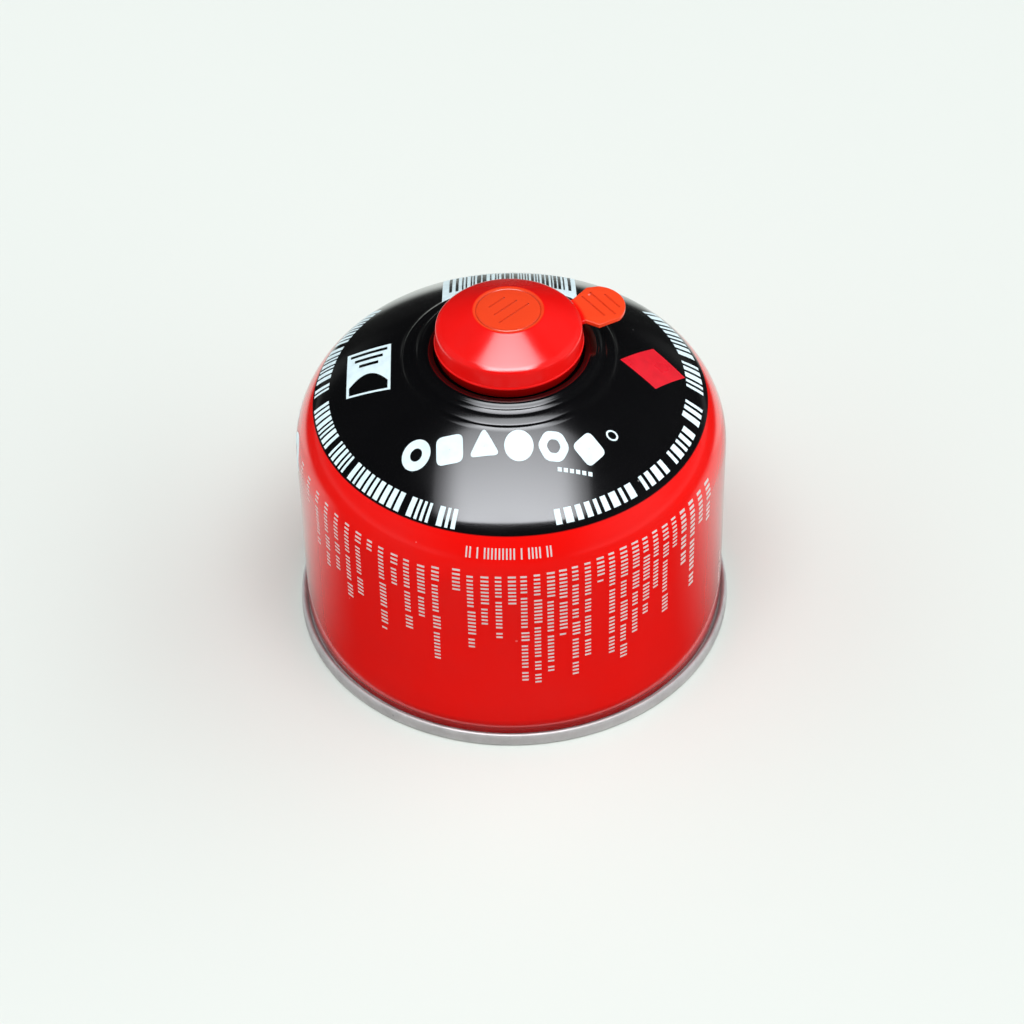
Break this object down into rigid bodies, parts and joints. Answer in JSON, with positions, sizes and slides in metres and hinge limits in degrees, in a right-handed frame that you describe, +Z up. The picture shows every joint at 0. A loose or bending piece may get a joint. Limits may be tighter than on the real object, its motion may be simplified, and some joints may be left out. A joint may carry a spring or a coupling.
{
  "type": "fuel canister",
  "caption": "Short domed screw-valve gas canister with a seamed foot and a plastic pull-off cap over the valve.",
  "frame": {"origin": "centre of the foot seam's circle, in the plane the canister stands on", "axes": "+Z up along the can's axis, -Y towards the picture's front, the cap's tab 21 degrees from +X towards +Y"},
  "size_m": [0.11, 0.11, 0.0945],
  "materials": {
    "body_paint": "gloss",
    "tinplate": "satin",
    "cap_plastic": "gloss",
    "seal_rubber": "matte",
    "housing_plastic": "matte",
    "stem_brass": "satin",
    "spring_steel": "satin"
  },
  "bodies": {
    "can": {"base_end": "tinplate", "can_body": "body_paint", "cup_seal": "seal_rubber", "valve_cup": "tinplate", "stem_seal": "seal_rubber", "valve_housing": "housing_plastic", "stem_spring": "spring_steel"},
    "stem": {"valve_stem": "stem_brass"},
    "cap": {"cap": "cap_plastic"}
  },
  "joints": [
    {"name": "cap_lift", "type": "slide", "parent": "can", "child": "cap", "axis": [0, 0, 1], "range_m": [0, 0.025]},
    {"name": "stem_press", "type": "slide", "parent": "can", "child": "stem", "axis": [0, 0, -1], "range_m": [0, 0.002], "stiffness_N_per_m": 2500, "deforming": ["stem_spring"]}
  ]
}
